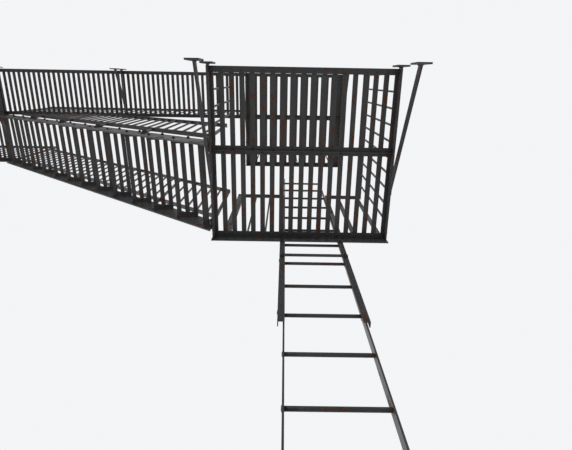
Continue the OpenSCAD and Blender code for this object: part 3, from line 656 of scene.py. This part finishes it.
# Short pieces of angle bolt the ends of the stringers to the lower landing's end angle and to the edge angle
# of the upper landing. One leg lies on the stringer, the other on the angle.
cleat_leg, cleat_t = 0.052, 0.006
foot_cleat_h, head_cleat_h = 0.037, 0.031
bolt_on_stringer, bolt_on_angle = 0.032, 0.033
lean = tan(flight_turn)
points, faces, cleat_bolts = [], [], []
for face, way in ((outer_face, 1), (inner_face, -1)):
    for x, along, low, tall in ((bay_x1, 1, lower_z - frame_leg, foot_cleat_h),
                                (landing_x0, -1, upper_z - frame_leg, head_cleat_h)):
        y = on_flight(x, face, 0)[1]
        high = low + tall
        end_x = x + along * cleat_leg
        end_y = y - along * cleat_leg * lean
        outline = [(x, y), (x, y + way * cleat_leg), (x + along * cleat_t, y + way * cleat_leg),
                   (x + along * cleat_t, y + way * cleat_t), (end_x, end_y + way * cleat_t), (end_x, end_y)]
        start = len(points)
        points += [(px, py, low) for px, py in outline] + [(px, py, high) for px, py in outline]
        loop = list(range(6))
        if along * way > 0:
            loop.reverse()
        faces.append([start + i for i in reversed(loop)])
        faces.append([start + 6 + i for i in loop])
        for a, b in zip(loop, loop[1:] + loop[:1]):
            faces.append([start + a, start + b, start + 6 + b, start + 6 + a])
        middle = (low + high) / 2
        cleat_bolts.append(((x + along * bolt_on_stringer,
                             y - along * bolt_on_stringer * lean + way * cleat_t, middle), (0, way, 0)))
        cleat_bolts.append(((x + along * cleat_t, y + way * bolt_on_angle, middle), (along, 0, 0)))
mesh = bpy.data.meshes.new("flight_cleats")
mesh.from_pydata(points, [], faces)
mesh.materials.append(black_iron)
cleats = bpy.data.objects.new("flight_cleats", mesh)
scene.collection.objects.link(cleats)
rounded = cleats.modifiers.new("edges", "BEVEL")
rounded.width = 0.0012
rounded.segments = 2
rounded.limit_method = "ANGLE"
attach(cleats, "fire_escape")
set_fittings("flight_cleat_bolts", nuts, cleat_bolts, large_nut, black_iron, "fire_escape")

# The sloping railings' posts reach down over the faces of the stringers, and two bolts hold each. Their
# square pickets stand on the sloping bottom rail and are hammered over on top of the hand rail.
stair_rail_h, stair_low_rail = 0.900, 0.130
picket_s = 0.012
stair_pitch, post_step = 0.092, 6
past_landing = 0.020
post_bolt_downs = (0.034, 0.074)
floor_gap, level_margin = 0.001, 0.004
first_upright = bay_x1 + picket_s
outer_rail_top = upper_z + slat_t + rail_h
inner_rail_top = upper_z - frame_leg - floor_gap
outer_side = outer_face - stringer_t - picket_s
on_slope = (-slope / slant, 0.0, 1 / slant)


def flight_uprights(z_max, x_last):
    """Where a sloping railing's uprights stand along the flight, and which of them are posts."""
    pitch_z = z_max - rail_t * slant - stair_low_rail - stringer_v + stringer_drop
    x_end = min(x_last, first_tread + ((pitch_z - lower_z) / rise - 1) * going)
    count = int((x_end - post_s - first_upright) / stair_pitch)
    return [(first_upright + i * stair_pitch, i % post_step == 0) for i in range(count + 1)]


post_bolts, picket_heads = [], []
for y0, face, way, z_max, x_last in (
        (outer_side, outer_side, OUT, outer_rail_top, landing_x0 + past_landing),
        (-inner_reach, -inner_reach + picket_s, IN, inner_rail_top, landing_x0)):
    for x, post in flight_uprights(z_max, x_last):
        if post:
            for down in post_bolt_downs:
                post_bolts.append((on_flight(x + post_s / 2, face, top_edge(x) - down), way_on_flight(way)))
        x_head = x + (post_s if post else picket_s) / 2
        height = top_edge(x_head) + stair_rail_h
        if height < z_max - level_margin:
            picket_heads.append((on_flight(x_head, y0 + picket_s / 2, height), way_on_flight(on_slope)))
set_fittings("flight_post_bolts", nuts, post_bolts, large_nut, black_iron, "fire_escape")
set_fittings("flight_picket_heads", rivets, picket_heads, {"Head Radius": 0.0082, "Head Height": 0.0030},
             black_iron, "fire_escape")

# The level railings are flat rails with square pickets and posts between them. These pass through the rails
# and are hammered over on top, and bolts through the bottom rail hold each panel down on the floor.
picket_pitch = 0.115
rail_w = 0.032
wall_end, street_end = -0.026, front_y + rail_w
walkway_y = -0.547
stair_side_x = bay_x1 - frame_leg
flat_y, post_y, picket_y = -1.114, -1.1075, -1.104
front_uprights = ((0.024, flat_y), (0.200, flat_y), (0.3055, post_y), (0.7025, post_y), (0.8187, picket_y),
                  (0.9413, picket_y), (1.083, post_y))
front_bolts = (0.112, 0.260, 0.755, 0.875, 1.005)


def spread(start, end, shift):
    """Spreads pickets evenly from one end of a panel to its last post, and shifts them all along."""
    count = ceil((end - start - post_s) / picket_pitch)
    step = (end - start - post_s) / count
    return [start + shift + i * step for i in range(1, count)]


lower_top = lower_z + slat_t + rail_h
heads = []
for x0, y0 in ((bay_x0, street_end), (stair_side_x, -inner_reach)):
    heads += [((x0 + rail_w / 2, y, lower_top), UP) for y in spread(y0, wall_end, 0.0)]
    heads.append(((x0 + post_s / 2, wall_end - post_s / 2, lower_top), UP))
heads += [((x, y, lower_top), UP) for x, y in front_uprights]
set_fittings("lower_picket_heads", rivets, heads, {"Head Radius": 0.0085, "Head Height": 0.0032}, black_iron,
             "fire_escape")


def between(pickets, skip):
    """The middles between pairs of neighbouring pickets, with so many pickets from one pair to the next."""
    return [(a + b) / 2 for a, b in zip(pickets[::skip], pickets[1::skip])]


holds = []
for x0, y0, y1, level in ((bay_x0, street_end, wall_end, lower_z),
                          (stair_side_x, -inner_reach, wall_end, lower_z),
                          (bay_x0, street_end, wall_end, upper_z),
                          (landing_x1 - rail_w, street_end, wall_end, upper_z),
                          (stair_side_x, street_end, walkway_y, upper_z)):
    holds += [((x0 + rail_w / 2, y, level + rail_t), UP) for y in between(spread(y0, y1, 0.0), 2)]
for x0, x1, y in ((bay_x0, bay_x1, front_y), (landing_x0, landing_x1, front_y),
                  (bay_x1, landing_x0, walkway_y)):
    holds += [((x, y + rail_w / 2, upper_z + slat_t + rail_t), UP)
              for x in between(spread(x0, x1, post_s / 2), 3)]
holds += [((x, front_y + rail_w / 2, lower_z + slat_t + rail_t), UP) for x in front_bolts]
set_fittings("rail_bolts", nuts, holds, {"Nut Radius": 0.0090, "Nut Height": 0.0065, "Bolt Radius": 0.0045,
                                         "Bolt End": 0.0030}, black_iron, "fire_escape")
